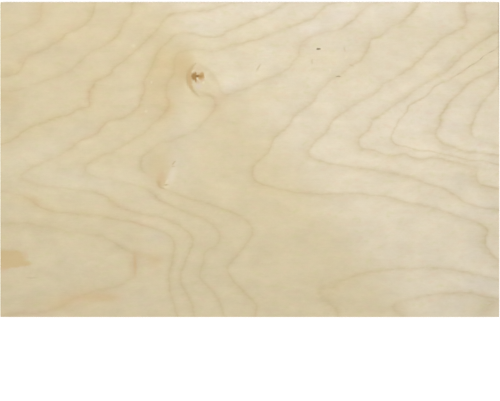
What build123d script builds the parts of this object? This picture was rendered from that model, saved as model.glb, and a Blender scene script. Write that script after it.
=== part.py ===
from build123d import *
import os

# Plywood sheet: rotary-cut birch veneers, glued with the grain of each one across the next,
# then sawn square and sanded. It lies flat with its face veneer up.
# The origin is the centre of the underside. +X runs along the face grain, which is the long
# side, +Y runs across it, and +Z points out of the face veneer.

# Driving sizes, in millimetres
sheet_length = 482.6    # 19 in, along the face grain
sheet_width = 304.8     # 12 in, across the face grain
outer_veneer = 1.05     # face and back veneers, thinned by sanding
inner_veneer = 1.3      # crossbands and core
inner_veneer_count = 3  # an odd number, so that both outer veneers have their grain along X
edge_drawback = 0.15    # how far a veneer draws back, as it dries, from a sawn edge along its grain
arris_radius = 0.3      # sanding eases the rim of each face by this much

# Worked out from the driving sizes
veneers = [outer_veneer] + inner_veneer_count * [inner_veneer] + [outer_veneer]
sheet_thickness = sum(veneers)


def veneer(index):
    """One veneer of the lay-up, counted from the back. Wood hardly shrinks along its grain,
    so a veneer keeps its full size that way and draws back across it."""
    grain_along_length = index % 2 == 0
    length_now = sheet_length if grain_along_length else sheet_length - 2 * edge_drawback
    width_now = sheet_width - 2 * edge_drawback if grain_along_length else sheet_width
    slab = Box(length_now, width_now, veneers[index], align=(Align.CENTER, Align.CENTER, Align.MIN))
    return Pos(0, 0, sum(veneers[:index])) * slab


def glued_up():
    """All the veneers as one piece, with the stepped edges that their crossed grain leaves."""
    sheet = veneer(0)
    for index in range(1, len(veneers)):
        sheet += veneer(index)
    return sheet


def sanded(sheet):
    """Eases the rim of the face and of the back."""
    flat_faces = sheet.faces().sort_by(Axis.Z)
    rims = flat_faces[0].edges() + flat_faces[-1].edges()
    return fillet(rims, radius=arris_radius)


os.makedirs("parts", exist_ok=True)
plywood_sheet = sanded(glued_up())
export_step(plywood_sheet, "parts/plywood_sheet.step")
print("thickness", round(sheet_thickness, 3), "volume", round(plywood_sheet.volume))
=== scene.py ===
import bmesh
import bpy
import numpy as np
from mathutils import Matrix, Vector, noise


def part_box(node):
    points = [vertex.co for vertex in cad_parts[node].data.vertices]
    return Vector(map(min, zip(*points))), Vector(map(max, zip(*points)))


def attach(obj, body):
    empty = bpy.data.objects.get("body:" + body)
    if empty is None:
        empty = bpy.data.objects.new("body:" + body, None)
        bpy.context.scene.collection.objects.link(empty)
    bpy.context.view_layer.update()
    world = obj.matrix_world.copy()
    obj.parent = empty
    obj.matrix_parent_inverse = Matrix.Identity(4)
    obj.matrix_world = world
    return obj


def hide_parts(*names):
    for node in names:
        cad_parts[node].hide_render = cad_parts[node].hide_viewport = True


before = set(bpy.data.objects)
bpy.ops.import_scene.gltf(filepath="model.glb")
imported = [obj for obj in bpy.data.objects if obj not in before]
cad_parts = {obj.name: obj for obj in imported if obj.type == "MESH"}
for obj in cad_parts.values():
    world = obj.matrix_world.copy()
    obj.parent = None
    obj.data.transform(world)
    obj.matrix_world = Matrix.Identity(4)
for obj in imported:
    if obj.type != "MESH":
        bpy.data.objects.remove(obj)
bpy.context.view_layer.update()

millimetre = 0.001
nodeName = "plywood_sheet"
sheetLow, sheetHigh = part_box(nodeName)
sheetSize = sheetHigh - sheetLow

# Where the sheet's sides lie in the photograph, and the photograph's own size, in its pixels, each
# of which is counted at its middle
photo = {
    "width": 500,
    "height": 401,
    "sheetLeft": -0.15,
    "sheetRight": 498.75,
    "sheetTop": 2.0,
    "sheetBottom": 316.3,
}
pixel = sheetSize.x / (photo["sheetRight"] - photo["sheetLeft"])
pixelDown = sheetSize.y / (photo["sheetBottom"] - photo["sheetTop"])


def fromPhoto(x, y):
    # A point of the photograph on the face veneer, in metres
    return (
        sheetLow.x + (x - photo["sheetLeft"]) * pixel,
        sheetHigh.y - (y - photo["sheetTop"]) * pixelDown,
    )


def fromMiddle(x, y):
    # A point in millimetres from the sheet's middle, in metres
    return (x * millimetre, y * millimetre)


def outOfOval(x, y, oval):
    # How far out of an oval a place lies, squared: 0 in its middle and 1 at its rim. The place is
    # in metres, and the oval's middle, half length and half height are in the photograph's pixels.
    middleX, middleY = fromPhoto(oval[0], oval[1])
    along = (x - middleX) / (oval[2] * pixel)
    across = (y - middleY) / (oval[3] * pixel)
    return along * along + across * across


# Growth lines of the face veneer, traced in the photograph's pixels, each with its year.
# The years count up from the outer corner. Where the photograph hides the sheet, the lines are
# finished in the manner of the rest.
faceLines = [
    (1, [(1, 38.5), (10, 36), (16, 33), (25, 28), (33, 24.5), (38.5, 20.5), (40.5, 15.5), (40.5, 10),
        (41, 3)]),
    (2, [(1, 77), (10, 75.5), (15, 73.5), (20, 69), (23, 63), (27, 57), (33, 54.5), (40, 51),
        (49.5, 46), (56, 42), (62, 38), (65.5, 34), (71, 31), (77, 29), (82, 26), (87.5, 21),
        (90, 18.5), (93, 13), (94, 9), (95, 3)]),
    (3, [(1, 91), (14, 90.5), (24, 87.5), (33, 84.5), (40, 82.5), (46, 80.5), (54, 77.5), (61, 75),
        (67, 72), (72, 69), (76, 65), (81, 61), (84, 57), (88.5, 53.5), (93, 50), (99, 48.5), (104, 46),
        (109, 42), (113, 38.5), (118, 34), (120, 29), (123, 23), (128, 18), (130.5, 13.5), (131, 6),
        (131, 3)]),
    (3, [(1, 223), (10, 223), (20, 223), (28, 222), (35, 224), (42, 225.5), (50, 227), (57, 228.5),
        (64, 231), (72, 232), (80, 232.5), (88, 234), (96, 234.5), (102, 236), (108, 239), (114, 242),
        (118, 245), (122, 248), (128, 250), (133, 252), (136.5, 256), (135, 262), (134, 270),
        (132, 277), (126, 280.5), (120.5, 284.5), (112, 286.5), (100, 288.5), (92, 291), (82, 294.5),
        (74, 297), (67, 301), (60, 305.5), (52, 308.5), (41, 311.5), (22, 313), (1, 315)]),
    (4, [(1, 144), (8, 142), (13.5, 138.5), (18, 135.5), (22, 131), (28, 128.5), (33, 125.5),
        (40, 123.5), (47, 121.5), (53, 119), (60, 116.5), (67, 115), (73, 111.5), (78, 108.5),
        (84, 107.5), (88, 106), (89, 103), (88, 98), (89, 94), (89.5, 90), (92, 86), (93, 84),
        (94, 81.5), (97, 79.5), (102, 78), (107, 75), (111, 72), (112, 68), (116, 65.5), (120, 62.5),
        (124.5, 60), (128, 57), (133, 52), (139, 47), (144, 42), (149.5, 36.5), (155, 32), (160, 25),
        (164, 20), (167, 17), (172, 14), (180, 12.5), (190, 12), (199, 11.5), (209, 10), (216, 7.5),
        (222, 5.5), (232, 3)]),
    (4, [(1, 191), (8, 192), (14, 194), (20, 195), (27, 197.5), (33, 201.5), (38, 205.5), (43, 208),
        (50, 210), (58, 211.5), (66, 212), (75, 213), (84, 214), (92, 214), (99, 215), (104, 216),
        (112, 217.5), (120, 219), (128, 220), (134, 221.5), (140, 224), (147, 226), (153, 228),
        (160, 229.5), (168, 234), (174, 243), (173, 255), (170, 268), (169, 282), (172, 298),
        (177, 316)]),
    (5, [(287, 2), (281, 5), (277, 8), (272, 11), (267, 14), (262, 17), (256, 19), (250, 21), (244, 24),
        (238, 26.5), (232, 29), (226, 31.5), (221, 35), (214, 36.5), (207, 36.5), (200, 36), (194, 34),
        (188, 33), (182, 33.5), (176, 35), (171, 38), (166, 43), (160, 49), (156, 54), (154, 60),
        (152, 66), (149, 71), (145.5, 77), (143.5, 81), (144, 87), (144, 92), (141, 97), (140, 102),
        (138, 107), (135.5, 109.5), (131, 113), (126, 116), (120, 118.5), (112, 119.5), (105, 122),
        (102, 126), (100, 129.5), (97.5, 132), (93, 135), (88, 137), (82, 139), (77, 142), (73.5, 145),
        (68, 149.5), (62, 153), (58, 156), (50, 158.5), (44, 161), (39, 164.5), (33, 166.5),
        (27.5, 169.5), (23, 173), (20.5, 176), (22, 179), (28, 181), (35, 183), (42, 185), (50, 187),
        (58, 187.5), (66, 188), (75, 189), (84, 190), (92, 191), (99, 193), (105, 196), (110, 200),
        (115.5, 204.5), (120, 207.5), (130, 210.5), (140, 213), (150, 215), (161, 217), (173, 222),
        (185, 230), (192, 239), (189, 251), (183, 265), (180, 279), (187, 295), (194, 316)]),
    (6, [(337, 2), (330, 4), (325, 6), (320, 11), (316, 15), (312, 19), (305.5, 21), (300, 24),
        (292, 26.5), (285, 29), (277.5, 31), (272, 33.5), (265, 36), (258, 38.5), (250, 40.5),
        (243, 43), (232, 46), (225, 48), (218, 50), (212, 51.5), (207, 51), (200, 49), (194, 48.5),
        (188, 49.5), (182, 51), (177, 54), (175, 58), (174, 64), (174, 70), (173, 74), (169.5, 78.5),
        (166.5, 83.5), (165.5, 90), (166, 95.5), (168, 100), (168, 105), (166, 110), (161, 116),
        (155, 121), (151, 125), (145, 131), (139, 135), (133, 139), (126.5, 142.5), (120, 146),
        (115, 149), (110, 153), (104, 154), (99, 157), (93, 160), (88, 163), (85, 167), (85, 171),
        (88.5, 174), (93.5, 176), (100, 178), (108, 178.5), (118, 180.5), (126, 182), (133, 184),
        (139, 185.5), (144, 188), (149, 191), (153.5, 194.5), (158, 199), (166, 202.5), (180, 209),
        (196, 215), (210, 223), (219, 233), (214, 246), (204, 258), (199, 272), (209, 287), (219, 301),
        (223, 316)]),
    (6, [(403, 316), (398, 311), (393, 306), (404, 300), (420, 296), (440, 293), (460, 292), (466, 292),
        (472, 293), (477, 294.5), (485, 296.3), (495.5, 298), (499, 299)]),
    (7, [(376, 2), (370, 4), (366, 7), (362, 11), (357, 15), (354, 20), (348, 23), (343, 27), (337, 30),
        (329, 31.5), (322, 33), (316, 35), (310, 37), (305, 40), (301, 44), (298.5, 50), (299, 54.5),
        (296, 58), (292, 62), (291, 66), (286.5, 69), (282, 72), (276, 75), (271, 77.5), (265, 79.5),
        (260, 81), (256, 84), (250, 87), (244, 89), (238, 90.5), (230, 92.5), (224, 94.5), (220, 90.5),
        (218, 84), (213.5, 77.5), (209, 71), (202.5, 67), (196.5, 63.5), (192, 66), (188.5, 71.5),
        (187.5, 77), (188.5, 83), (191.5, 88.5), (195, 94), (200, 96), (207, 95), (213, 98), (215, 102),
        (215, 108), (212, 112), (207, 118), (202, 124), (197, 129), (190, 133), (184, 135), (178, 137),
        (171, 140), (163, 142), (158, 144), (153, 148), (149, 151), (144.5, 153.5), (141, 158),
        (140, 163), (140.5, 168), (144.5, 171.5), (148.5, 174.5), (152.5, 177.5), (156, 181),
        (160, 186), (170, 191), (182, 196), (196, 200), (212, 205), (230, 211), (244, 219), (252, 229),
        (247, 242), (236, 255), (227, 270), (235, 283), (248, 296), (256, 307), (254, 316)]),
    (7, [(338, 316), (335, 308), (326, 301), (318, 292), (328, 286), (343, 280), (357, 274), (380, 270),
        (410, 268), (440, 268), (463, 271), (468, 272), (473, 274), (480, 275), (487, 277), (494, 278),
        (499, 279.5)]),
    (8, [(418.5, 2), (415.5, 7.5), (411.5, 12.5), (407, 17), (402, 21.5), (394, 25.5), (388, 29),
        (383, 33), (378, 37), (370, 40), (369, 45), (365.5, 51.5), (362.5, 56.5), (359, 61), (352, 65),
        (347, 68), (342.5, 72.5), (338, 76.5), (330.5, 79), (325.5, 84.5), (321, 89), (317, 93),
        (315, 97), (308, 105), (296, 114), (286, 127), (274, 138), (268, 152), (255, 163), (252, 175),
        (262, 184), (284, 190), (312, 193), (345, 193), (385, 196), (420, 204), (445, 211), (462, 217),
        (467, 218), (472, 220), (477, 222), (482, 225), (486, 228), (487.5, 231), (485, 236),
        (485.5, 239), (484.6, 243.4), (488.5, 250), (493, 255.5), (497.4, 258.7), (499, 260)]),
    (9, [(470, 2), (465, 5), (464, 10), (465.5, 16), (466, 21), (464.5, 25.5), (460.5, 29), (454, 32),
        (447, 35), (440, 39), (436, 43), (431, 48), (426, 53), (421, 58), (415.5, 62.5), (411, 68),
        (405.5, 70.5), (401.5, 73), (395, 77), (389, 81), (383, 83), (380, 88), (375, 93), (370, 97),
        (364, 98.5), (360, 101), (356, 103), (344, 111), (333, 119), (327, 131), (315, 141), (308, 150),
        (314, 158), (334, 164), (362, 168), (400, 175), (430, 184), (455, 195), (460, 199),
        (466, 202.5), (473, 205), (480, 207), (488, 208.5), (499, 209.5)]),
    (10, [(499, 31), (493.5, 33.5), (488, 37), (483, 40), (478.5, 43), (473.5, 46.5), (468.5, 50.5),
        (462.5, 55), (457.5, 59.5), (453, 64), (449, 69), (443, 73), (436.5, 76), (430, 80), (423, 84),
        (418, 88), (412, 92), (407, 96), (404, 99), (398, 102), (392, 106), (387, 110), (383, 113),
        (373, 120), (368, 130), (358, 138), (359, 146), (375, 151), (405, 153.5), (433, 157),
        (440, 158.5), (447, 160), (456, 162), (464, 164.5), (472, 166), (477, 168.5), (475.5, 172),
        (475.5, 177), (478, 182), (483, 185), (490, 187), (499, 188)]),
    (11, [(499, 46), (496, 49), (491.5, 51), (486.5, 53.5), (481, 58), (476, 62), (471, 65), (467, 68),
        (463, 71), (458, 74), (453, 77), (448, 79.5), (442, 82), (436, 85), (432, 89), (429, 92),
        (425, 96), (420, 99), (414, 102), (409, 105), (406.5, 109.5), (404, 114), (400, 118),
        (398, 121), (397, 124), (392, 132), (391, 140), (400, 146), (413, 149), (427, 150.5),
        (435, 152.5), (442, 154), (450, 155.5), (457, 157), (463, 158.5), (470, 160), (478, 160.5),
        (486, 161.5), (492, 163), (499, 165)]),
    (12, [(499, 67), (493, 70), (487, 73), (481, 76), (475, 79), (470, 82), (466, 85), (462, 89),
        (458, 93), (454, 97), (450, 101), (446, 108), (443, 112), (440, 116), (440, 121), (438, 126),
        (435, 130), (435, 134), (437, 138), (441, 142), (446, 145), (452, 147), (458, 149),
        (465, 151.5), (472, 152), (480, 152.5), (488, 154), (498, 155)]),
    (13, [(499, 82), (496, 86), (492, 91), (488, 95), (484, 99), (481, 103), (478, 109), (475, 114),
        (473.5, 120), (471, 125.5), (470.5, 131), (473, 136), (478, 140), (485, 142), (492, 143.5),
        (499, 145)]),
]

# Spots between the lines, each with the part of a year that the wood there has reached
faceBetween = [
    (2, 3, 0.35), (20, 10, 0.7), (197, 77, 7.4), (219, 97, 7.12), (480, 120, 13.2), (499, 110, 13.4),
    (499, 177, 10.4), (60, 262, 2.45), (1, 270, 2.3), (100, 262, 2.6), (150, 285, 3.35),
    (110, 305, 3.3), (60, 316, 3.15), (486, 172, 10.25), (499, 3, 9.35), (499, 232, 8.3),
    (499, 316, 5.55), (150, 310, 3.55), (10, 176, 4.75), (1, 165, 4.55), (300, 140, 8.4),
    (345, 140, 9.4), (231, 173, 7.55), (432, 171, 9.5), (412, 165, 9.5), (455, 179, 9.55),
    (470, 190, 9.5), (215, 165, 7.5), (240, 140, 7.6), (290, 240, 7.45), (370, 235, 7.5),
    (430, 240, 7.5), (295, 300, 7.3), (205, 255, 6.1), (425, 309, 5.7), (370, 300, 6.5),
]

# Growth lines of the back veneer, a plain rotary-cut one, in millimetres from the sheet's middle
backLines = [
    (1, [(-241, -128), (-160, -121), (-70, -104), (10, -92), (95, -101), (180, -122), (241, -131)]),
    (2, [(-241, -99), (-170, -92), (-85, -68), (-5, -55), (70, -60), (150, -84), (241, -103)]),
    (3, [(-241, -62), (-180, -58), (-100, -36), (-25, -17), (40, -19), (110, -43), (185, -66),
        (241, -74)]),
    (4, [(-241, -24), (-185, -22), (-120, -6), (-50, 15), (10, 24), (60, 17), (120, -8), (241, -46)]),
    (5, [(-241, 12), (-190, 14), (-130, 27), (-70, 46), (-10, 58), (50, 52), (120, 26), (241, -17)]),
    (6, [(-241, 46), (-200, 50), (-140, 63), (-80, 82), (-10, 96), (70, 84), (150, 52), (241, 14)]),
    (7, [(-241, 84), (-190, 92), (-120, 108), (-40, 128), (30, 134), (110, 112), (180, 80), (241, 48)]),
    (8, [(-241, 128), (-200, 137), (-160, 152)]),
    (8, [(110, 152), (170, 123), (241, 86)]),
]
backBetween = [(-241, -150, 0.4), (241, -150, 0.5), (0, 150, 7.6), (241, 140, 9.2), (0, -140, 0.3)]


class RingMap:
    # Gives any place a ring number, by bending a thin plate through the drawn lines
    tiny = 1e-12  # keeps the logarithm finite at a spot
    slack = 6e-6  # how far the plate may give way at a spot
    batch = 3000  # places at a time

    def __init__(self, lines, between, toMetres):
        spots = [(x, y, year) for year, path in lines for x, y in path] + between
        self.spots = np.array([toMetres(x, y) for x, y, year in spots]) / sheetSize.x
        count = len(spots)
        plate = self.bend(self.spots)[0] + self.slack * np.eye(count)
        plane = np.hstack([np.ones((count, 1)), self.spots])
        system = np.block([[plate, plane], [plane.T, np.zeros((3, 3))]])
        years = [year for x, y, year in spots]
        self.pull = np.linalg.solve(system, np.append(years, np.zeros(3)))

    def bend(self, places):
        gaps = places[:, None] - self.spots[None]
        squared = (gaps**2).sum(2) + self.tiny
        return squared * np.log(squared) / 2, gaps, np.log(squared) + 1

    def at(self, places):
        # Ring numbers, and how many rings pass in a metre there
        rings, slopes = [], []
        for start in range(0, len(places), self.batch):
            part = places[start : start + self.batch] / sheetSize.x
            height, gaps, lean = self.bend(part)
            rings.append(height @ self.pull[:-3] + self.pull[-3] + part @ self.pull[-2:])
            tilt = np.einsum("ijk,ij->ik", gaps, lean * self.pull[:-3]) + self.pull[-2:]
            slopes.append(np.hypot(tilt[:, 0], tilt[:, 1]) / sheetSize.x)
        return np.concatenate(rings), np.concatenate(slopes)


# The broad colour of the face, in the photograph's pixels: from tan on the left to pale on the
# right of a slanting border, and painted shade that makes it a little darker towards the lower
# side and the right end
drift = {
    "tanSide": 0.12,
    "paleSide": 0.74,
    "border": 172,  # where it meets the upper side
    "lean": 0.75,
    "width": 75,
    "shade": 0.996,
    "lowerPaintedShade": (140, 317, -0.1),  # from, to, amount
    "rightPaintedShade": (420, 500, -0.055),
}

# Soft ovals of colour on the face: x, y, half length, half height, and an amount in hundredths.
# First, where the wood is paler, or more tan where the amount is below 0
palenessWashes = [
    (255, 8, 60, 22, 20), (335, 14, 40, 16, 15), (400, 8, 50, 12, 15), (395, 122, 40, 30, 15),
    (480, 135, 40, 50, 15), (216, 60, 16, 20, 25), (232, 82, 12, 8, 20), (160, 80, 13, 40, -20),
    (110, 180, 60, 14, 12), (10, 160, 14, 14, 15),
]
# Where it is stained a warmer tan
warmthWashes = [
    (3, 98, 14, 9, 20), (160, 84, 11, 34, 22), (182, 68, 7, 12, 30), (105, 297, 20, 5, 22),
    (55, 304, 34, 7, 16), (152, 262, 9, 5, 16), (112, 202, 7, 6, 14), (36, 202, 6, 5, 16),
    (158, 180, 8, 12, 20), (492, 303, 10, 9, 14),
]
# Where it is more golden, or greyer where the amount is below 0
goldWashes = [
    (255, 36, 44, 26, 35), (166, 62, 13, 12, 60), (169, 109, 7, 11, 70), (145, 92, 8, 16, 30),
    (140, 111, 7, 7, 35), (28, 62, 12, 8, 25), (10, 71, 16, 7, 40), (8, 100, 12, 10, 45),
    (50, 118, 9, 6, 30), (28, 132, 16, 7, 25), (42, 14, 7, 10, 40), (92, 92, 8, 18, 35),
    (220, 50, 16, 9, 30), (240, 25, 10, 6, 30), (262, 98, 16, 8, 30), (300, 62, 20, 16, 30),
    (332, 58, 6, 8, 25), (342, 78, 9, 9, 45), (361, 65, 6, 12, 25), (412, 20, 16, 24, 25),
    (395, 28, 6, 12, 25), (410, 68, 7, 7, 30), (432, 75, 7, 6, 30), (440, 42, 12, 8, 20),
    (482, 42, 26, 36, 45), (275, 92, 24, 10, 35), (368, 64, 14, 18, 20), (465, 150, 12, 24, 25),
    (478, 175, 12, 8, 30), (90, 296, 24, 7, 70), (60, 304, 14, 8, 45), (133, 264, 7, 13, 35),
    (155, 254, 6, 12, 30), (26, 199, 13, 6, 40), (52, 208, 8, 7, 25), (45, 226, 20, 6, 15),
    (120, 28, 7, 8, 25), (61, 38, 8, 5, 30), (90, 12, 6, 8, 20), (320, 14, 8, 5, 35),
    (296, 22, 8, 5, 30), (104, 166, 16, 7, 15), (4, 245, 6, 8, 30), (480, 308, 20, 7, 55),
    (490, 228, 8, 8, 45), (198, 27, 20, 12, -60), (227, 87, 10, 8, -75), (309, 30, 16, 7, -60),
    (340, 15, 14, 8, -60), (436, 12, 10, 14, -30), (384, 8, 12, 6, -20), (403, 7, 9, 7, -50),
    (177, 6, 12, 7, -35), (269, 55, 8, 12, -45), (284, 45, 6, 6, -30), (47, 148, 17, 12, -60),
    (28, 165, 20, 18, -25), (62, 177, 34, 14, -25), (95, 180, 46, 14, -30), (78, 132, 12, 8, -45),
    (184, 130, 18, 22, -65), (178, 166, 14, 16, -65), (150, 200, 14, 8, -30), (156, 230, 10, 14, -40),
    (145, 300, 24, 14, -30), (80, 258, 22, 14, -15), (70, 266, 22, 10, -20), (38, 286, 18, 8, -20),
    (130, 100, 9, 12, -25), (12, 208, 8, 6, -25), (15, 5, 16, 8, -25), (480, 208, 16, 8, -30),
    (492, 214, 10, 6, -40), (475, 148, 9, 6, -50), (480, 284, 18, 9, -60), (415, 122, 14, 8, -25),
    (452, 128, 8, 12, -30), (430, 112, 6, 10, -30), (264, 75, 7, 10, 35), (330, 60, 8, 6, 25),
    (460, 78, 14, 6, 30), (183, 55, 6, 7, -35), (445, 40, 8, 5, 15), (494, 284, 6, 5, -30),
    # On the next line, (259, 6) and (152, 5) grey a painted highlight along the top edge
    (124, 297, 6, 5, -30), (259, 6, 14, 7, -40), (152, 5, 10, 5, -35), (111, 142, 10, 5, -25),
    (154, 238, 8, 6, -25), (495, 294, 7, 6, -25), (460, 306, 8, 6, -35), (474, 256, 10, 8, -25),
]
# Where it turns to orange, or greener where the amount is below 0
blushWashes = [
    (170, 65, 8, 9, 50), (92, 134, 7, 4, 70), (40, 12, 5, 9, 50), (67, 47, 8, 6, 30),
    (123, 28, 9, 9, 30), (26, 60, 8, 8, 40), (8, 76, 12, 4, -40), (142, 90, 6, 12, 50),
    (88, 96, 6, 12, 35), (171, 93, 8, 10, 50), (150, 112, 18, 8, 30), (213, 122, 7, 7, 60),
    (275, 98, 10, 5, 40), (296, 50, 9, 8, 30), (370, 55, 6, 9, 30), (464, 28, 6, 14, 30),
    (395, 90, 14, 10, 20), (446, 125, 8, 8, 25), (26, 199, 12, 6, 50), (15, 245, 10, 5, 70),
    (8, 275, 12, 5, 30), (140, 255, 12, 16, 40), (144, 224, 12, 4, 90), (128, 208, 14, 5, 30),
    (86, 295, 22, 8, 85), (66, 305, 12, 10, 40), (38, 312, 16, 4, 80), (105, 295, 12, 10, 30),
    (45, 146, 11, 6, -50), (76, 132, 6, 6, -40), (30, 168, 16, 6, -35), (65, 188, 24, 5, -35),
    (10, 165, 14, 10, -30), (207, 34, 14, 14, -40), (268, 54, 7, 6, -50), (230, 80, 7, 7, -40),
    (198, 122, 9, 14, -35), (172, 170, 14, 8, -35), (126, 188, 8, 6, -30), (135, 230, 12, 5, -40),
    (38, 284, 14, 5, -40), (72, 267, 8, 5, -50), (117, 266, 12, 6, -40), (438, 22, 12, 8, -30),
    (412, 43, 5, 5, -50), (492, 105, 7, 7, -40), (492, 140, 7, 6, -40), (482, 292, 14, 5, -40),
    (497, 205, 6, 8, -40), (318, 88, 6, 6, -30), (80, 45, 80, 46, 25), (236, 106, 14, 9, 30),
    (466, 14, 5, 12, 40), (157, 258, 5, 6, 50), (75, 174, 40, 14, -25), (215, 106, 5, 12, 30),
    (135, 264, 4, 12, 50), (440, 90, 60, 60, 8), (12, 101, 12, 8, 30), (30, 313, 26, 5, 80),
    (72, 298, 12, 7, 70), (104, 297, 16, 4, 50), (174, 69, 12, 9, 50), (158, 112, 14, 7, 50),
    (148, 52, 8, 10, 20), (494, 284, 6, 5, -70), (62, 198, 34, 6, -20), (150, 228, 14, 5, -25),
    (460, 78, 14, 6, 25), (183, 55, 6, 7, -20),
]
# Where the growth lines turn rosy
rosyWashes = [
    (40, 13, 7, 10, 100), (26, 60, 9, 9, 100), (12, 100, 12, 9, 70), (88, 97, 7, 13, 100),
    (143, 94, 7, 15, 100), (168, 105, 7, 13, 100), (100, 128, 9, 7, 100), (82, 138, 11, 7, 100),
    (135, 110, 7, 6, 80), (219, 98, 6, 5, 100), (305, 42, 7, 8, 60), (468, 178, 10, 8, 50),
    (134, 266, 7, 14, 100), (114, 202, 9, 7, 60), (36, 202, 9, 7, 50), (140, 223, 14, 6, 100),
    (128, 210, 14, 5, 80), (162, 200, 6, 5, 80), (214, 108, 6, 12, 70), (466, 14, 6, 12, 80),
    (8, 76, 10, 5, 70),
]
# Where it is lighter, or darker where the amount is below 0: partly the wood's own uneven tone,
# and partly painted light and shade, lighter along the top and darker down the left side
shadeWashes = [
    (180, 22, 28, 24, 6), (190, 110, 14, 30, 5), (200, 62, 8, 11, 9), (224, 80, 12, 10, 10),
    (310, 30, 14, 8, 4.5), (340, 14, 14, 8, 4), (268, 58, 8, 10, 3.5), (280, 45, 10, 5, 2),
    (480, 148, 18, 8, 6.5), (476, 270, 18, 16, 6), (480, 207, 14, 8, 4.5), (80, 20, 24, 16, 3),
    (82, 137, 10, 8, 3), (110, 135, 10, 7, 2), (62, 188, 30, 6, 2.5), (35, 160, 18, 14, 2),
    (28, 280, 12, 8, 2.5), (85, 262, 14, 8, 2), (151, 7, 9, 7, 4), (407, 6, 9, 6, 4.5),
    (195, 32, 16, 12, 2), (140, 32, 12, 9, 2), (172, 89, 20, 5, 2), (191, 91, 5, 8, 3),
    (178, 142, 12, 8, 2.5), (165, 190, 8, 10, 2), (366, 30, 10, 7, 3), (75, 218, 12, 4, 2),
    (128, 260, 6, 9, 3), (8, 74, 12, 5, -3), (8, 112, 16, 22, -6), (8, 146, 12, 16, -3),
    (152, 160, 16, 12, -6), (152, 176, 6, 6, -3), (463, 178, 12, 8, -9), (475, 168, 5, 5, -3),
    (134, 266, 6, 10, -5), (95, 294, 12, 8, -6), (118, 245, 14, 8, -3), (42, 228, 24, 6, -3.5),
    (72, 228, 14, 5, -3), (142, 92, 5, 16, -4), (225, 54, 12, 6, -4), (332, 60, 6, 6, -3),
    (408, 25, 12, 6, -3), (492, 28, 10, 16, -5), (172, 105, 8, 16, -3), (22, 300, 28, 8, -3.5),
    (428, 94, 11, 7, -4.5), (480, 306, 14, 8, -5), (430, 48, 12, 6, -4.5), (30, 90, 9, 9, -3),
    (95, 104, 10, 7, -2.5), (167, 54, 9, 10, -2), (185, 108, 24, 6, -2), (292, 62, 14, 6, -2),
    (265, 98, 10, 6, -3), (400, 70, 16, 7, -1.5), (102, 198, 8, 7, -3.5), (130, 206, 14, 4, -2.5),
    (30, 250, 12, 8, -2), (15, 268, 14, 5, -2.5), (155, 258, 8, 5, -3), (485, 228, 12, 6, -4.5),
    (20, 30, 10, 10, -1.5), (360, 16, 8, 6, -2), (130, 50, 9, 6, -1.5), (2, 205, 16, 105, -3.4),
    (110, 6, 50, 16, 2.2), (232, 8, 36, 16, 2.4), (385, 8, 50, 16, 1.6), (270, 40, 50, 30, 0.6),
    (115, 52, 60, 36, 1.2), (200, 64, 24, 36, 0.8), (5, 8, 12, 20, -1.5), (222, 98, 6, 5, 3),
    (445, 41, 8, 5, -3.5), (468, 47, 9, 5, -4.5), (464, 137, 7, 8, -4), (345, 67, 8, 6, -3),
    (320, 88, 10, 5, -3), (124, 297, 6, 5, 2), (206, 70, 6, 5, 3), (186, 86, 5, 6, 2),
    # Of the next two lines, (259, 6) and (152, 5) are a painted highlight along the top edge
    (484, 311, 8, 5, -3), (488, 304, 6, 4, -2), (152, 229, 10, 5, 2), (259, 6, 14, 7, 5),
    (152, 5, 10, 5, 4.5), (474, 256, 10, 7, 3), (3, 217, 6, 8, -3.5), (3, 97, 6, 6, -4),
    (29, 96, 10, 6, -2.5), (111, 142, 10, 5, 3), (161, 307, 8, 10, 4), (201, 40, 8, 5, 4),
    (485, 69, 8, 5, -3), (24, 138, 10, 5, -3), (22, 295, 12, 6, -3), (495, 294, 6, 6, 3.5),
    (495, 174, 6, 6, 3.5), (338, 20, 8, 6, 4),
]

# For each year in turn, how strong its line is, how far the line fades out before and after it, and
# how far its dark heart reaches, the last three in millimetres
faceCharacter = [
    (0.85, 4.8, 3.0, 0.95), (1.0, 5.4, 2.4, 0.95), (0.85, 3.6, 3.0, 0.95), (1.2, 3.4, 2.8, 0.95),
    (1.15, 3.2, 2.6, 0.95), (1.0, 3.3, 2.8, 0.95), (1.1, 3.2, 2.8, 0.95), (1.35, 4.4, 2.1, 0.95),
    (1.4, 3.8, 2.4, 0.95), (1.4, 4.4, 2.1, 0.95), (1.15, 1.5, 1.3, 0.6), (1.5, 3.0, 2.5, 0.95),
    (1.25, 3.7, 2.1, 0.95),
]

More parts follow.
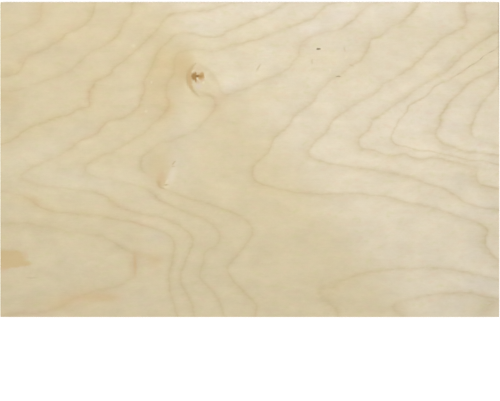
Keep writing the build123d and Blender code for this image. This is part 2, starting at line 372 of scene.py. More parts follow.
# By year, where its line is stronger, or fainter where the amount is below 0, in hundredths
boldnessWashes = {
    2: [(90, 14, 12, 14, 40), (12, 74, 14, 10, 30), (36, 58, 10, 8, -25), (62, 38, 16, 10, 35)],
    3: [
        (26, 86, 24, 8, -40), (112, 38, 14, 12, 75), (132, 10, 8, 12, 25), (62, 230, 14, 6, -30),
        (120, 248, 14, 10, 50), (134, 268, 10, 14, 5), (106, 288, 18, 8, 5), (58, 304, 26, 8, -40),
    ],
    4: [
        (10, 196, 14, 12, -60), (88, 92, 16, 14, 40), (195, 12, 22, 8, 55), (60, 116, 26, 10, 15),
        (108, 62, 12, 12, 30), (134, 224, 12, 10, 40),
    ],
    5: [
        (50, 156, 26, 8, -40), (22, 176, 10, 10, -30), (58, 185, 34, 8, -45), (100, 194, 14, 8, 15),
        (140, 104, 10, 12, 25), (106, 130, 14, 10, 35), (156, 84, 10, 14, 30), (206, 36, 18, 8, 20),
        (252, 17, 16, 10, 70),
    ],
    6: [
        (178, 72, 8, 12, 20), (160, 88, 8, 10, -60), (207, 50, 12, 8, -30), (108, 180, 26, 8, -60),
        (164, 104, 12, 22, 50), (250, 40, 10, 8, 75), (276, 33, 10, 8, -40), (302, 22, 10, 8, 80),
        (318, 13, 8, 10, 5), (158, 200, 14, 8, 70), (470, 294, 30, 8, 70),
    ],
    7: [
        (188, 78, 5, 16, 90), (210, 74, 10, 14, -55), (202, 63, 7, 6, -25), (228, 91, 12, 6, -10),
        (140, 160, 8, 10, 40), (156, 146, 12, 8, -50), (154, 178, 12, 10, -100),
        (203, 130, 16, 10, -30), (213, 106, 10, 10, 50), (276, 74, 16, 8, -30), (326, 32, 14, 8, -50),
        (134, 154, 10, 8, -40), (350, 21, 8, 8, 90), (368, 6, 12, 8, -45), (460, 272, 18, 8, 35),
    ],
    8: [
        (410, 9, 10, 10, 60), (394, 28, 14, 10, -60), (368, 46, 10, 14, 30), (346, 68, 14, 8, -45),
        (322, 88, 14, 10, -45), (466, 217, 16, 8, -35), (488, 234, 14, 14, 40), (494, 256, 8, 8, 10),
    ],
    9: [
        (466, 26, 12, 8, 10), (444, 37, 10, 8, -10), (420, 58, 16, 12, 10), (390, 82, 20, 10, -25),
        (364, 100, 16, 10, -55), (466, 203, 16, 8, -20), (492, 208, 12, 8, 30),
    ],
    10: [
        (492, 36, 10, 8, 30), (468, 52, 16, 10, -10), (424, 84, 26, 12, -35), (392, 108, 14, 10, -25),
        (492, 188, 14, 8, 35), (474, 172, 10, 8, -40), (466, 180, 8, 8, 30),
    ],
    11: [(486, 55, 24, 12, -65), (446, 80, 18, 10, -20), (416, 104, 12, 12, 70)],
    12: [(442, 112, 10, 14, 40), (468, 83, 10, 8, 20), (494, 70, 12, 8, -20)],
    13: [(484, 98, 10, 10, -15), (484, 138, 22, 10, -65), (470, 128, 8, 12, 50)],
}
# By year, where its line fades out further before it and after it, in millimetres
beforeWashes = {
    1: [(38, 11, 8, 16, 2)],
    2: [(9, 72, 12, 7, 1.5)],
    3: [(132, 270, 8, 14, 1)],
    4: [(12, 138, 16, 8, 2.5)],
    6: [(178, 78, 8, 14, 3), (474, 297, 16, 8, 2)],
    7: [(188, 78, 5, 16, 1)],
    8: [(480, 240, 12, 18, 2.5)],
    9: [(460, 12, 9, 16, 3)],
    10: [(470, 177, 10, 12, 3), (450, 66, 20, 12, 1.5)],
}
afterWashes = {
    3: [(60, 226, 34, 8, 1.2)],
    4: [(36, 202, 10, 8, 2.5), (84, 92, 12, 14, 1.8)],
    5: [(114, 202, 10, 8, 2.5), (152, 66, 8, 14, 2.5)],
    6: [(160, 108, 12, 12, 2.5)],
    7: [(188, 78, 5, 16, 2), (300, 46, 8, 14, 3), (213, 106, 10, 10, 2.5)],
    8: [(400, 12, 14, 14, 2.5)],
}

# The back veneer has one character all over
backCharacter = {
    "paleness": 0.4,
    "shade": 0.97,
    "warmth": 0.05,
    "gold": 0,
    "blush": 0,
    "rosy": 0.3,
    "boldness": 1.2,
    "fadeBefore": 4 * millimetre,
    "fadeAfter": 2 * millimetre,
    "heart": 0.95 * millimetre,
}


def smooth(low, high, values):
    # From 0 to 1 while the values go from low to high
    share = np.clip((values - low) / (high - low), 0, 1)
    return share * share * (3 - 2 * share)


def washed(places, washes, parts=100):
    # Adds up soft ovals of colour, whose amounts are so many parts of one
    total = np.zeros(len(places))
    for *oval, amount in washes:
        total += amount / parts * np.exp(-outOfOval(places[:, 0], places[:, 1], oval))
    return total


def washedByYear(places, years, washes, parts=100):
    # The same where each place takes only the ovals of its own year
    return sum(washed(places, ovals, parts) * (years == year) for year, ovals in washes.items())


# How the sheet is laid up. Veneers count from the back, and the even ones have their grain along X.
layUp = {
    "veneers": 5,
    "outerVeneer": 1.05 * millimetre,
    "drawBack": 0.15 * millimetre,
    "arris": 0.3 * millimetre,
    "arrisSteps": 3,
    "glueLine": 0.09 * millimetre,
    "loopsInVeneer": 3,
    "cellsAlong": 230,
    "cellsAcross": 145,
    "touching": 0.03 * millimetre,  # how near two points count as one
    "sharpTurn": 0.7,  # radians between two faces, past which their edge shows sharp
}
# The sheet's finishes, in the order in which makeSheet hands them out
finishes = {"face": 0, "back": 1, "longGrain": 2, "endGrain": 3, "glue": 4}


def outlineOf(index):
    # Half length and half width of one veneer: it draws back across its grain
    back = layUp["drawBack"]
    if index % 2 == 0:
        return sheetSize.x / 2, sheetSize.y / 2 - back
    return sheetSize.x / 2 - back, sheetSize.y / 2


def veneerHeights():
    outer = layUp["outerVeneer"]
    inner = (sheetSize.z - 2 * outer) / (layUp["veneers"] - 2)
    thicknesses = [outer] + (layUp["veneers"] - 2) * [inner] + [outer]
    return np.concatenate([[sheetLow.z], sheetLow.z + np.cumsum(thicknesses)])


def rimsDownwards():
    # The rims round the edge, from the face to the back: half length, half width, height, band
    heights = veneerHeights()
    arris, glue = layUp["arris"], layUp["glueLine"]
    last = layUp["veneers"] - 1
    halfX, halfY = outlineOf(last)
    eased = []
    for turn in np.linspace(0, np.pi / 2, layUp["arrisSteps"] + 1):
        inset = arris * (1 - np.sin(turn))
        eased.append((halfX - inset, halfY - inset, arris * (1 - np.cos(turn))))
    rims = [(*half, sheetHigh.z - drop, "face") for *half, drop in eased[1:]]
    for index in range(last, -1, -1):
        half = outlineOf(index)
        upper = heights[index + 1] - (arris if index == last else glue / 2)
        lower = heights[index] + (arris if index == 0 else glue / 2)
        if index < last:
            rims.append((*half, upper, "glue"))
        for height in np.linspace(upper, lower, layUp["loopsInVeneer"] + 1)[1:]:
            rims.append((*half, height, index))
    return rims + [(*half, sheetLow.z + rise, "back") for *half, rise in eased[-2::-1]]


def finishOf(band, endOfSheet):
    if band in finishes:
        return finishes[band]
    grainAlongX = band % 2 == 0
    return finishes["endGrain" if grainAlongX == endOfSheet else "longGrain"]


def sortOf(kind, geometry):
    return [item for item in geometry if isinstance(item, kind)]


def edgeBands(shape):
    # Takes the rim of the face down through all the veneers
    halfX, halfY = (half - layUp["arris"] for half in outlineOf(layUp["veneers"] - 1))
    height = sheetHigh.z
    rim = [e for e in shape.edges if e.is_boundary]
    for nextX, nextY, nextHeight, band in rimsDownwards():
        grown = bmesh.ops.extrude_edge_only(shape, edges=rim)["geom"]
        corners = sortOf(bmesh.types.BMVert, grown)
        rim = [e for e in sortOf(bmesh.types.BMEdge, grown) if e.is_boundary]
        bmesh.ops.scale(shape, vec=(nextX / halfX, nextY / halfY, 1), verts=corners)
        bmesh.ops.translate(shape, vec=(0, 0, nextHeight - height), verts=corners)
        halfX, halfY, height = nextX, nextY, nextHeight
        for side in sortOf(bmesh.types.BMFace, grown):
            middle = side.calc_center_median()
            endOfSheet = abs(middle.x) / sheetSize.x > abs(middle.y) / sheetSize.y
            side.material_index = finishOf(band, endOfSheet)


# Where the face's cells are divided more finely: x, y, half length, half height, cuts
refined = [(197, 77, 15, 13, 3), (197, 77, 9, 8, 1), (160, 184, 7, 7, 3)]

# What is carved into the face at the two knots: x, y, half length, half height, depth
carved = [
    (194.3, 76, 2.6, 2.4, 0.13 * millimetre),
    (200.8, 75, 2.4, 1.8, 0.1 * millimetre),
    (196.2, 80.5, 1.3, 1.6, 0.08 * millimetre),
    (190, 78, 1.2, 8, 0.03 * millimetre),
    (160, 184, 3.4, 3.2, 0.1 * millimetre),
]
carvedLook = {
    "reach": 6,  # how far out of its oval a hollow goes, squared
    "lumps": 2500,  # in a metre
    "share": 0.75,  # of its depth
    "unevenness": 0.5,
}

# The saw's marks on the edge: how many lie in a metre each way, and their depth
sawMarks = [((90, 90, 900), 0.03 * millimetre), ((700, 700, 2500), 0.02 * millimetre)]


def refineAround(shape, oval, cuts):
    # Divides the face's cells more finely in an oval, for what is carved there. A dictionary keeps
    # their edges in order, each of them once.
    edges = {}
    for cell in shape.faces:
        middle = cell.calc_center_median()
        if cell.material_index == finishes["face"] and outOfOval(middle.x, middle.y, oval) < 1:
            edges.update(dict.fromkeys(cell.edges))
    bmesh.ops.subdivide_edges(shape, edges=list(edges), cuts=cuts, use_grid_fill=True)


def carve(shape):
    for corner in shape.verts:
        if corner.co.z < sheetHigh.z - layUp["touching"]:
            continue
        for *oval, depth in carved:
            away = outOfOval(corner.co.x, corner.co.y, oval)
            if away < carvedLook["reach"]:
                lump = noise.noise(corner.co * carvedLook["lumps"])
                share = carvedLook["share"] + carvedLook["unevenness"] * lump
                corner.co.z -= depth * share * np.exp(-away)


def sawRipple(shape):
    # The saw leaves the edge a little uneven, never outside the sheet's own size
    for corner in shape.verts:
        place = corner.co
        if not layUp["arris"] < sheetHigh.z - place.z < sheetSize.z - layUp["arris"]:
            continue
        back = sum(depth * (0.5 + 0.5 * noise.noise(Vector(counts) * place)) for counts, depth in sawMarks)
        for axis in (0, 1):
            if abs(place[axis]) > sheetSize[axis] / 2 - 2 * layUp["drawBack"]:
                place[axis] -= back if place[axis] > 0 else -back


def cutSheet():
    # The whole sheet as one closed shape: a grid for the face, its rim taken down, and the back
    shape = bmesh.new()
    cells = layUp["cellsAlong"], layUp["cellsAcross"]
    bmesh.ops.create_grid(shape, x_segments=cells[0], y_segments=cells[1], size=1)
    halfX, halfY = (half - layUp["arris"] for half in outlineOf(layUp["veneers"] - 1))
    bmesh.ops.scale(shape, vec=(halfX, halfY, 1), verts=shape.verts)
    bmesh.ops.translate(shape, vec=(0, 0, sheetHigh.z), verts=shape.verts)
    flat = list(shape.verts) + list(shape.edges) + list(shape.faces)
    edgeBands(shape)
    backing = bmesh.ops.duplicate(shape, geom=flat)["geom"]
    bmesh.ops.translate(shape, vec=(0, 0, -sheetSize.z), verts=sortOf(bmesh.types.BMVert, backing))
    backCells = sortOf(bmesh.types.BMFace, backing)
    bmesh.ops.reverse_faces(shape, faces=backCells)
    for cell in backCells:
        cell.material_index = finishes["back"]
    openRims = [corner for corner in shape.verts if corner.is_boundary]
    bmesh.ops.remove_doubles(shape, verts=openRims, dist=layUp["touching"])
    shape.normal_update()
    for *oval, cuts in refined:
        refineAround(shape, oval, cuts)
    carve(shape)
    sawRipple(shape)
    bmesh.ops.recalc_face_normals(shape, faces=shape.faces)
    for e in shape.edges:
        e.smooth = e.calc_face_angle(0) < layUp["sharpTurn"]
    for cell in shape.faces:
        cell.smooth = True
    return shape


whiteLevel = 1.12  # how bright the lamps show a white face: past 1, the paper stays white


def paint(red, green, blue):
    # A surface's colour from how the screen shows it under the lamps, 0 to 255
    shares = np.array([red, green, blue]) / 255
    linear = np.where(shares > 0.04045, ((shares + 0.055) / 1.055) ** 2.4, shares / 12.92)
    return (*(linear / whiteLevel).tolist(), 1)


def mathMethod(operation, reflected=False):
    # A method that adds one Math node, with its two values swapped where it is a reflected form
    def method(signal, *others):
        values = (*others, signal) if reflected else (signal, *others)
        return signal.finish.node("Math", {"operation": operation}, dict(enumerate(values)))

    return method


class Signal:
    # A socket's value, on which Python's own arithmetic adds Math nodes
    def __init__(self, finish, socket):
        self.finish = finish
        self.socket = socket

    __add__ = __radd__ = mathMethod("ADD")
    __sub__ = mathMethod("SUBTRACT")
    __rsub__ = mathMethod("SUBTRACT", reflected=True)
    __mul__ = __rmul__ = mathMethod("MULTIPLY")
    __truediv__ = mathMethod("DIVIDE")
    __lt__ = mathMethod("LESS_THAN")
    power = mathMethod("POWER")
    rounded = mathMethod("ROUND")
    size = mathMethod("ABSOLUTE")
    exp = mathMethod("EXPONENT")
    atLeast = mathMethod("MAXIMUM")
    atMost = mathMethod("MINIMUM")

    def __neg__(self):
        return self * -1

    def spread(self, low, high, toLow=0, toHigh=1):
        # Takes the stretch from low to high smoothly onto another one
        settings = {"interpolation_type": "SMOOTHSTEP"}
        sockets = {0: self, 1: low, 2: high, 3: toLow, 4: toHigh}
        return self.finish.node("MapRange", settings, sockets)


class Finish:
    # The nodes of one material, or of the world
    def __init__(self, owner):
        owner.use_nodes = True
        self.owner = owner
        self.tree = owner.node_tree
        self.tree.nodes.clear()

    def node(self, kind, settings=None, sockets=None, output=0):
        # One node, with its settings and its sockets' values or links, as the signal that it gives
        made = self.tree.nodes.new("ShaderNode" + kind)
        for name, value in (settings or {}).items():
            setattr(made, name, value)
        for name, value in (sockets or {}).items():
            if isinstance(value, Signal):
                self.tree.links.new(value.socket, made.inputs[name])
            else:
                made.inputs[name].default_value = value
        return made if output is None else Signal(self, made.outputs[output])

    def mixed(self, share, first, second):
        # Passes from the first colour to the second
        return self.node("Mix", {"data_type": "RGBA"}, {0: share, 6: first, 7: second}, output=2)

    def vector(self, operation, *values):
        return self.node("VectorMath", {"operation": operation}, dict(enumerate(values)))

    def show(self, shader, output="OutputMaterial"):
        self.node(output, None, {"Surface": shader}, output=None)
        return self.owner


class Wood(Finish):
    # A material of the sheet, which reads Object coordinates
    specular = 0.2

    def __init__(self, name, seed=0):
        super().__init__(bpy.data.materials.new(name))
        self.seed = seed
        self.place = self.node("TexCoord", output="Object")

    def attribute(self, name):
        return self.node("Attribute", {"attribute_name": name}, output="Fac")

    def noise(self, counts, detail, shift=0):
        # Noise about 0.5, so many lumps of which lie in a metre each way
        sockets = {"Vector": self.place, "Location": (shift, shift, shift), "Scale": counts}
        local = self.node("Mapping", None, sockets)
        return self.node("TexNoise", None, {"Vector": local, "Scale": 1, "Detail": detail})

    def grain(self, name):
        # One of a veneer's noises, drawn out along the grain
        length, width, detail, shift = veneerGrains[name]
        across = 1 / (width * millimetre)
        return self.noise((1 / (length * millimetre), across, across), detail, self.seed + shift)

    def signedGrain(self, name):
        # The same about 0, mostly from -1 to 1
        return (self.grain(name) - 0.5) * 4

    def spot(self, place, x, y, halfLength, halfHeight, turn=0, soft=0.8):
        # 1 inside an oval of the photograph's pixels and 0 outside it, with a soft rim. A ball of
        # gradient fills the oval out to the rim's far side.
        reach = 1 + soft
        sockets = {
            "Vector": place,
            "Location": (*fromPhoto(x, y), sheetHigh.z),
            "Rotation": (0, 0, turn),
            "Scale": (halfLength * pixel * reach, halfHeight * pixel * reach, 1),
        }
        local = self.node("Mapping", {"vector_type": "TEXTURE"}, sockets)
        ball = self.node("TexGradient", {"gradient_type": "SPHERICAL"}, {"Vector": local}, "Fac")
        return ball.spread(0, 2 * soft / reach)

    def close(self, colour, roughness, height, relief):
        sockets = {"Height": height, "Distance": relief, "Strength": 1}
        normal = self.node("Bump", None, sockets)
        sockets = {"Base Color": colour, "Roughness": roughness, "Normal": normal}
        sockets["Specular IOR Level"] = self.specular
        return self.show(self.node("BsdfPrincipled", None, sockets))


veneerLook = {
    "tan": paint(219, 204, 166),
    "pale": paint(232, 221, 199),
    "stain": paint(212, 184, 134),
    "line": paint(150, 133, 92),
    "band": paint(184, 156, 86),
    "roseBand": paint(192, 142, 98),
    "rose": paint(230, 196, 170),
    "olive": paint(208, 206, 146),
    "lineInk": 0.055,
    "bandInk": 0.155,
    "bandPower": 1.5,  # how suddenly a band fades out
    "jag": 0.5 * millimetre,
    "wander": 0.7 * millimetre,
    "slopeFloor": 14,  # rings in a metre
    "fibre": 0.0145,
    "streak": 0.011,
    "blotch": 0.019,
    "mottle": 0.05,
    "fleck": 0.02,
    "poreShade": 0.07,
    # A stretch of a noise, and what it is taken to where that isn't 0 to 1
    "patch": (0.35, 0.7, 0, 0.12),
    "roseTint": (0.5, 0.85, 0, 0.37),
    "oliveTint": (0.15, 0.5, 0.37, 0),
    "strength": (0.3, 0.7, 0.75, 1.22),
    "lightFleck": (0.6, 0.72),
    "darkFleck": (0.28, 0.4, 1, 0),
    "pore": (0.66, 0.76),
    "poreDepth": (-1, 1, 0.35, 1),
    # What gold and blush do to red, green and blue
    "goldRed": 0.02,
    "goldBlue": 0.14,
    "blushRed": 0.01,
    "blushGreen": 0.03,
    # Height and roughness
    "relief": 0.03 * millimetre,
    "fibreRise": 0.25,
    "lineRise": 0.3,
    "poreDrop": 1.2,
    "roughness": 0.62,
    "lineGloss": 0.05,
    "poreRoughness": 0.1,
}

# A veneer's noises: length and width in millimetres, detail, and a shift that keeps them apart
veneerGrains = {
    "patch": (16, 9, 3, 0),
    "jag": (9, 1.3, 2, 1),
    "wander": (16, 9, 2, 2),
    "coarse": (8, 3, 3, 3),
    "fibre": (8, 0.22, 3, 4),
    "streak": (24, 1.4, 2, 5),
    "mottle": (22, 14, 2, 6),
    "dash": (4.5, 0.9, 1, 7),
    "pore": (2.2, 0.1, 0, 8),
    "blotch": (4.5, 3.4, 2, 9),
    "tint": (10, 6, 2, 10),
}


def growth(wood):
    # How near each place is to a growth line, sharply and then softly
    look = veneerLook
    jag = wood.signedGrain("jag") * look["jag"]
    wander = wood.signedGrain("wander") * look["wander"]
    slope = wood.attribute("ringSlope").atLeast(look["slopeFloor"])
    ring = wood.attribute("ring") + slope * (jag + wander)
    away = (ring - ring.rounded()) / slope
    before = away < 0
    width = before * wood.attribute("fadeBefore") + (1 - before) * wood.attribute("fadeAfter")
    sharply = (-(away.size() / wood.attribute("heart")).power(2)).exp()
    softly = (-(away.size() / width).power(look["bandPower"])).exp()
    coarse = wood.grain("coarse")
    bold = wood.attribute("boldness") * coarse.spread(*look["strength"])
    return sharply * bold, softly * bold


def fibres(wood):
    # How much lighter or darker the fine grain makes each place, about 1
    look = veneerLook
    fibre = wood.signedGrain("fibre")
    streak = wood.signedGrain("streak")
    blotch = wood.signedGrain("blotch")
    mottle = wood.signedGrain("mottle")
    dashes = wood.grain("dash")
    fleck = dashes.spread(*look["lightFleck"]) - dashes.spread(*look["darkFleck"])
    pores = wood.grain("pore").spread(*look["pore"])
    pores = pores * blotch.spread(*look["poreDepth"])
    shade = 1 + fibre * look["fibre"] + streak * look["streak"] + blotch * look["blotch"]
    shade = shade + mottle * look["mottle"] + fleck * look["fleck"] - pores * look["poreShade"]
    return shade, fibre, pores


def veneerBase(wood):
    # The veneer's colour, and what its roughness and relief follow
    look = veneerLook
    base = wood.mixed(wood.attribute("paleness"), look["tan"], look["pale"])
    patch = wood.grain("patch").spread(*look["patch"])
    base = wood.mixed(patch + wood.attribute("warmth"), base, look["stain"])
    tint = wood.grain("tint")
    base = wood.mixed(tint.spread(*look["roseTint"]), base, look["rose"])
    base = wood.mixed(tint.spread(*look["oliveTint"]), base, look["olive"])
    sharply, softly = growth(wood)
    band = wood.mixed(wood.attribute("rosy"), look["band"], look["roseBand"])
    base = wood.mixed((softly * look["bandInk"]).atMost(1), base, band)
    base = wood.mixed((sharply * look["lineInk"]).atMost(1), base, look["line"])
    gold, blush = wood.attribute("gold"), wood.attribute("blush")
    red = 1 + gold * look["goldRed"] + blush * look["blushRed"]
    green = 1 - blush * look["blushGreen"]
    blue = 1 - gold * look["goldBlue"]
    gilding = wood.node("CombineXYZ", None, {0: red, 1: green, 2: blue})
    base = wood.vector("MULTIPLY", base, gilding)
    shade, fibre, pores = fibres(wood)
    # On the face, the shade attribute carries painted light and shade as well as the wood's uneven tone
    factor = shade * wood.attribute("shade")
    base = wood.node("VectorMath", {"operation": "SCALE"}, {0: base, "Scale": factor})
    return base, fibre, pores, sharply


def finishVeneer(wood, colour, fibre, pores, sharply):
    look = veneerLook
    height = fibre * look["fibreRise"] + sharply * look["lineRise"] - pores * look["poreDrop"]
    roughness = look["roughness"] - sharply * look["lineGloss"] + pores * look["poreRoughness"]
    return wood.close(colour, roughness, height, look["relief"])


markLook = {
    "brown": paint(120, 77, 4),
    "umber": paint(166, 126, 66),
    "sienna": paint(196, 158, 100),
    "tan": paint(204, 172, 122),
    "amber": paint(212, 188, 136),
    "stain": paint(202, 172, 116),
    "rose": paint(214, 184, 150),
    "lilac": paint(222, 203, 196),
    "olive": paint(190, 174, 130),
    "grey": paint(128, 112, 78),
    "cream": paint(240, 226, 190),
    "pale": paint(232, 219, 198),
    "lumps": 700,  # in a metre, which make the marks' rims uneven
    "unevenness": (2 * millimetre, 1.6 * millimetre, 0),
}
# Small marks on the face, from the bottom up: a colour, how much of it, and the ovals that it
# fills, each with its middle, half length and half height in the photograph's pixels, and its turn
# and softness where they aren't 0 and 0.8
faceMarks = [
    ("amber", 0.45, (181, 69, 9, 17, 0.05, 0.9)),
    ("amber", 0.3, (184.5, 60, 8.5, 9, 0, 0.45)),
    ("tan", 0.8, (189, 78.5, 2.7, 7, 0, 0.6), (190, 86, 1.7, 5, 0.5)),
    ("tan", 0.45, (190.2, 70, 2, 6, -0.45)),
    ("cream", 0.25, (187, 87.5, 2.2, 6, 0.5, 0.9)),
    ("olive", 0.45, (186.7, 79, 0.7, 7, 0.05), (193.5, 91, 1.1, 6.5, 0.75)),
    ("olive", 0.4, (194.9, 63.5, 0.7, 1.2, -0.5, 0.6), (191.2, 68, 0.8, 3.5, -0.6)),
    ("olive", 0.2, (205, 69, 4.6, 3, -0.6, 0.9), (212, 77, 7, 2.8, -1, 0.9)),
    ("olive", 0.3, (207.5, 94.8, 7.5, 1.6, -0.35)),
    ("rose", 0.4, (198, 68.5, 3.2, 3, 0, 0.9)),
    ("lilac", 0.5, (198, 86.2, 2.4, 2.4, 0, 0.9)),
    ("rose", 0.35, (221.5, 97.5, 5, 4, 0, 0.9)),
    ("umber", 0.95, (193.4, 76.2, 2.4, 3.8, 0, 0.45), (195, 74.6, 1.3, 2.9, 0, 0.45),
        (195, 78.2, 1.4, 3.8, 0.12, 0.5)),
    ("sienna", 0.88, (201.3, 75.8, 2.9, 3.9, -0.1, 0.5), (198.4, 75.8, 2.6, 1.6, 0, 0.6)),
    ("sienna", 0.7, (199.6, 78, 1.9, 1.6, 0, 0.7)),
    ("tan", 0.45, (197.2, 73.4, 2.2, 1.4, 0, 0.9)),
    ("rose", 0.6, (202, 80.2, 2.4, 1.5, 0.4, 0.9), (197.2, 81.6, 1.6, 1.8)),
    ("umber", 0.6, (199.2, 75.9, 3.2, 1.4)),
    ("brown", 0.7, (196.8, 75.9, 1.7, 0.8, 0, 0.6)),
    ("cream", 0.6, (196.8, 78.3, 0.8, 1.4, 0.35, 0.6)),
    ("cream", 0.5, (202.8, 82.6, 1.3, 1.3), (204.6, 76, 0.7, 2.6, 0.2), (192.4, 71, 1.4, 0.8, 0.8)),
    ("amber", 0.35, (160, 166, 11, 16, 0.1, 0.9)),
    ("tan", 0.4, (160.7, 180.3, 3.8, 5.8, 0.1, 0.9)),
    ("rose", 0.35, (161, 176, 3, 6, 0, 0.9)),
    ("umber", 0.22, (158.4, 183.4, 1.8, 3.4, 0.35)),
    ("pale", 0.55, (171.5, 175, 3.4, 8, -0.3)),
    ("cream", 0.4, (166.2, 181.5, 1, 2.6, -0.7, 0.7)),
    ("cream", 0.3, (165.5, 186.6, 3.2, 1, 0, 0.7)),
    ("olive", 0.7, (166, 184.2, 2.2, 0.6, 0, 0.7), (173.2, 162.6, 2.3, 0.7, 0.95, 0.7)),
    ("olive", 0.5, (173, 165.9, 1.8, 0.5, 0, 0.7), (161.5, 187.4, 3, 0.8, -0.4)),
    ("grey", 0.85, (318.2, 48.8, 2.2, 1, 0.1, 0.5)),
    ("cream", 0.5, (321.5, 48.8, 1.4, 0.7, 0, 0.6), (345.8, 56.8, 1.2, 1.6, -0.4),
        (329.8, 70.6, 0.9, 1.8)),
    ("grey", 0.6, (337.8, 76.3, 2.7, 0.55, -0.1, 0.5)),
    ("olive", 0.35, (351, 65.4, 2.2, 0.8, -0.4, 0.7), (344, 49, 0.8, 2, 0.3), (311.6, 61.5, 0.9, 2.4)),
    ("olive", 0.45, (258, 67.5, 3.6, 1, 1.05, 0.7)),
    ("grey", 0.15, (30.5, 277.1, 5, 0.7, 0, 0.6)),
    ("tan", 0.2, (147, 256, 12, 3, -0.25, 0.9)),
    ("tan", 0.2, (155, 261, 7, 5, 0, 0.9)),
    ("tan", 0.5, (134.6, 263, 1.5, 9, 0.04)),
    ("tan", 0.14, (98, 297, 20, 3.8, 0, 0.45), (66, 302, 16, 4, 0.45, 0.7)),
    ("cream", 0.4, (133, 45.5, 2.2, 1.5, 0, 0.7), (151, 82, 1.1, 1.1), (145.5, 111, 1.2, 1.2)),
    ("stain", 0.6, (4, 258, 16, 8.6, 0, 0.25), (13, 255.2, 10, 5.8, 0, 0.35),
        (16.5, 259.2, 9, 6, 0.25, 0.45), (22, 262.7, 8.5, 2.9, -0.05, 0.45), (13, 264, 8, 3, 0, 0.4),
        (4, 265, 9, 3.6, 0.05, 0.4)),
    ("rose", 0.45, (25.5, 254, 2, 4, 0.3), (2.5, 269, 5, 2.6, 0, 0.6)),
    ("grey", 0.3, (491, 51.4, 2.8, 0.55, 0.4, 0.6), (480.6, 58.3, 3, 0.6, 0.75, 0.6),
        (469.5, 66, 4.5, 0.5, 0.6, 0.6)),
    ("grey", 0.12, (457, 74.4, 5, 0.5, 0.5, 0.6), (437, 85, 5, 0.5, 0.45, 0.7),
        (496.5, 47.5, 3, 0.5, 0.75, 0.7)),
    ("grey", 0.12, (486, 54.3, 3.5, 0.5, 0.5, 0.7), (475.5, 62.3, 3.5, 0.5, 0.7, 0.7)),
    ("olive", 0.4, (490, 300.8, 5, 0.8, -0.12), (490, 303.6, 3.5, 0.7, 0.5)),
    ("olive", 0.15, (461.5, 7.5, 3, 6, 0, 0.9)),
    # Painted shade: a thin dark line down the upper part of the right edge
    ("grey", 0.32, (498.3, 34, 0.8, 62, 0, 0.4)),
]


def faceFinish():
    wood = Wood("birch_face_veneer")
    colour, *relief = veneerBase(wood)
    sockets = {"Vector": wood.place, "Scale": markLook["lumps"], "Detail": 2}
    nudge = wood.vector("SUBTRACT", wood.node("TexNoise", None, sockets, "Color"), (0.5, 0.5, 0.5))
    nudged = wood.vector("MULTIPLY_ADD", nudge, markLook["unevenness"], wood.place)
    for tint, share, *ovals in faceMarks:
        mark = wood.spot(nudged, *ovals[0])
        for oval in ovals[1:]:
            mark = mark.atLeast(wood.spot(nudged, *oval))
        colour = wood.mixed(mark * share, colour, markLook[tint])
    return finishVeneer(wood, colour, *relief)


def backFinish():
    wood = Wood("birch_back_veneer", seed=40)
    return finishVeneer(wood, *veneerBase(wood))


edgeLook = {
    "longGrain": paint(222, 202, 160),
    "longGrainDark": paint(200, 172, 122),
    "endGrain": paint(198, 166, 118),
    "endGrainDark": paint(150, 114, 72),
    "glue": paint(112, 76, 44),
    "relief": 0.05 * millimetre,
    "pores": 4200,  # in a metre
    "glueLumps": 900,  # in a metre
    # Roughness, and how far a noise changes it
    "longGrainRoughness": 0.7,
    "streakGloss": 0.1,
    "endGrainRoughness": 0.78,
    "poreRoughness": 0.08,
    "glueRoughness": 0.6,
    "lumpRoughness": 0.1,
    # Which stretch of each noise shows, and how darkly
    "streak": (0.3, 0.75),
    "streakInk": 0.6,
    "tone": (0.3, 0.7),
    "toneInk": 0.5,
    "pore": (0.15, 0.5),
    "poreInk": 0.35,
    "ray": (0.35, 0.7),
    "rayInk": 0.4,
    "year": (0.4, 0.7),
    "yearInk": 0.35,
    "lump": (0.35, 0.65),
}

# The edges' noises: lumps in a metre each way, detail, and a shift that keeps them apart
edgeGrains = {
    "streak": ((110, 110, 5200), 4, 0),
    "tone": ((28, 28, 700), 2, 7),
    "ray": ((1100, 1100, 300), 3, 3),
    "year": ((45, 45, 1500), 2, 5),
}


def inked(name, noise):
    # How darkly an edge's noise shows
    return noise.spread(*edgeLook[name]) * edgeLook[name + "Ink"]


def longGrainFinish():
    # The side of a veneer whose grain runs along the edge
    wood = Wood("birch_long_grain_edge")
    streak = wood.noise(*edgeGrains["streak"])
    tone = wood.noise(*edgeGrains["tone"])
    share = (inked("streak", streak) + inked("tone", tone)).atMost(1)
    colour = wood.mixed(share, edgeLook["longGrain"], edgeLook["longGrainDark"])
    roughness = edgeLook["longGrainRoughness"] - streak * edgeLook["streakGloss"]
    return wood.close(colour, roughness, streak, edgeLook["relief"])


def endGrainFinish():
    # The sawn ends of the fibres: darker, with the pores open
    wood = Wood("birch_end_grain_edge")
    cells = wood.node("Mapping", None, {"Vector": wood.place, "Scale": 3 * [edgeLook["pores"]]})
    walls = wood.node("TexVoronoi", None, {"Vector": cells, "Scale": 1}, "Distance")
    ray = wood.noise(*edgeGrains["ray"])
    year = wood.noise(*edgeGrains["year"])
    pore = 1 - walls.spread(*edgeLook["pore"])
    share = (pore * edgeLook["poreInk"] + inked("ray", ray) + inked("year", year)).atMost(1)
    colour = wood.mixed(share, edgeLook["endGrain"], edgeLook["endGrainDark"])
    roughness = edgeLook["endGrainRoughness"] + pore * edgeLook["poreRoughness"]
    return wood.close(colour, roughness, -share, edgeLook["relief"])


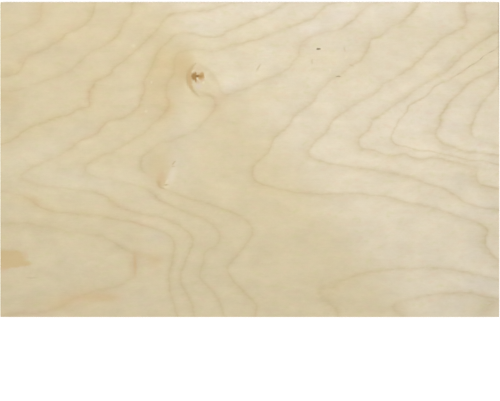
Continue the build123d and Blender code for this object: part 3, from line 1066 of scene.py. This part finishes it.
def glueFinish():
    wood = Wood("glue_line")
    sockets = {"Vector": wood.place, "Scale": edgeLook["glueLumps"], "Detail": 2}
    lumps = wood.node("TexNoise", None, sockets)
    share = lumps.spread(*edgeLook["lump"])
    colour = wood.mixed(share, edgeLook["glue"], edgeLook["endGrainDark"])
    roughness = edgeLook["glueRoughness"] + lumps * edgeLook["lumpRoughness"]
    return wood.close(colour, roughness, lumps, edgeLook["relief"])


def faceTraits(flat):
    # What the drawn lines and the soft ovals say of each place on the face
    rings, slopes = RingMap(faceLines, faceBetween, fromPhoto).at(flat)
    x = (flat[:, 0] - sheetLow.x) / pixel + photo["sheetLeft"]
    y = (sheetHigh.y - flat[:, 1]) / pixelDown + photo["sheetTop"]
    side = (x - drift["lean"] * y - drift["border"]) / drift["width"]
    paleness = drift["tanSide"] + (drift["paleSide"] - drift["tanSide"]) * smooth(-0.5, 0.5, side)
    # Painted shade: a little darker towards the lower side and the right end
    shade = drift["shade"]
    for (start, end, amount), reached in ((drift["lowerPaintedShade"], y), (drift["rightPaintedShade"], x)):
        shade = shade + amount * smooth(start, end, reached)
    years = np.clip(np.rint(rings), 1, len(faceCharacter)).astype(int)
    bold, before, after, heart = np.array(faceCharacter)[years - 1].T
    return {
        "ring": rings,
        "ringSlope": slopes,
        "paleness": paleness + washed(flat, palenessWashes),
        "shade": shade + washed(flat, shadeWashes),
        "warmth": washed(flat, warmthWashes),
        "gold": washed(flat, goldWashes),
        "blush": washed(flat, blushWashes),
        "rosy": washed(flat, rosyWashes),
        "boldness": bold * (1 + washedByYear(flat, years, boldnessWashes)),
        "fadeBefore": (before + washedByYear(flat, years, beforeWashes, 1)) * millimetre,
        "fadeAfter": (after + washedByYear(flat, years, afterWashes, 1)) * millimetre,
        "heart": heart * millimetre,
    }


def describeGrain(mesh):
    # Writes the grain of the face and of the back into the sheet's own points
    places = np.empty(len(mesh.vertices) * 3)
    mesh.vertices.foreach_get("co", places)
    places = places.reshape(-1, 3)
    flat, onFace = places[:, :2], places[:, 2] > sheetSize.z / 2
    rings, slopes = RingMap(backLines, backBetween, fromMiddle).at(flat)
    back = {"ring": rings, "ringSlope": slopes, **backCharacter}
    for name, values in faceTraits(flat).items():
        layer = mesh.attributes.new(name, "FLOAT", "POINT")
        layer.data.foreach_set("value", np.where(onFace, values, back[name]).astype(np.float32))


def addToScene(name, data):
    added = bpy.data.objects.new(name, data)
    bpy.context.scene.collection.objects.link(added)
    return added


def meshOf(name, shape):
    mesh = bpy.data.meshes.new(name)
    shape.to_mesh(mesh)
    shape.free()
    return mesh


def makeSheet():
    mesh = meshOf("plywood", cutSheet())
    print("sheet cut:", len(mesh.vertices), "points,", len(mesh.polygons), "faces")
    describeGrain(mesh)
    print("grain drawn")
    for finish in (faceFinish(), backFinish(), longGrainFinish(), endGrainFinish(), glueFinish()):
        mesh.materials.append(finish)
    sheet = addToScene("plywood", mesh)
    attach(sheet, "root")
    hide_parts(nodeName)


stageLook = {
    "floorHalf": 4,
    "floorColour": (0.78, 0.78, 0.78, 1),
    "skyLight": 0.48 * whiteLevel,
    "lampLight": 0.61 * np.pi * whiteLevel,
    "lampSpread": 0.5,
    "lampTurn": (0.12, 0.08, 0),
    "lens": 85,
    "farClip": 50,
}


def makeStage():
    # A pale floor that shows white where nothing shades it
    shape = bmesh.new()
    bmesh.ops.create_grid(shape, x_segments=1, y_segments=1, size=stageLook["floorHalf"])
    floor = addToScene("floor", meshOf("floor", shape))
    paper = Finish(bpy.data.materials.new("floor_paper"))
    ray = paper.node("LightPath", output="Is Camera Ray")
    colour = paper.mixed(ray, stageLook["floorColour"], (1, 1, 1, 1))
    floor.data.materials.append(paper.show(paper.node("BsdfDiffuse", None, {"Color": colour})))


def makeLight():
    # A plain sky that shows white to the camera, and one soft lamp
    sky = Finish(bpy.data.worlds.new("studio"))
    ray = sky.node("LightPath", output="Is Camera Ray")
    strength = sky.node("MapRange", None, {"Value": ray, "To Min": stageLook["skyLight"], "To Max": 1})
    glow = sky.node("Background", None, {"Strength": strength})
    bpy.context.scene.world = sky.show(glow, "OutputWorld")
    lamp = bpy.data.lights.new("soft_lamp", "SUN")
    lamp.energy = stageLook["lampLight"]
    lamp.angle = stageLook["lampSpread"]
    addToScene("soft_lamp", lamp).rotation_euler = stageLook["lampTurn"]


def makeCamera():
    # Straight above, framed as the photograph is
    lens = bpy.data.cameras.new("camera")
    lens.lens = stageLook["lens"]
    lens.clip_end = stageLook["farClip"]
    middle = fromPhoto((photo["width"] - 1) / 2, (photo["height"] - 1) / 2)
    distance = photo["width"] * pixel * lens.lens / lens.sensor_width
    camera = addToScene("camera", lens)
    camera.location = (*middle, sheetHigh.z + distance)
    bpy.context.scene.camera = camera


bpy.context.scene.view_settings.view_transform = "Standard"
makeSheet()
makeStage()
makeLight()
makeCamera()
print("stage, light and camera set")
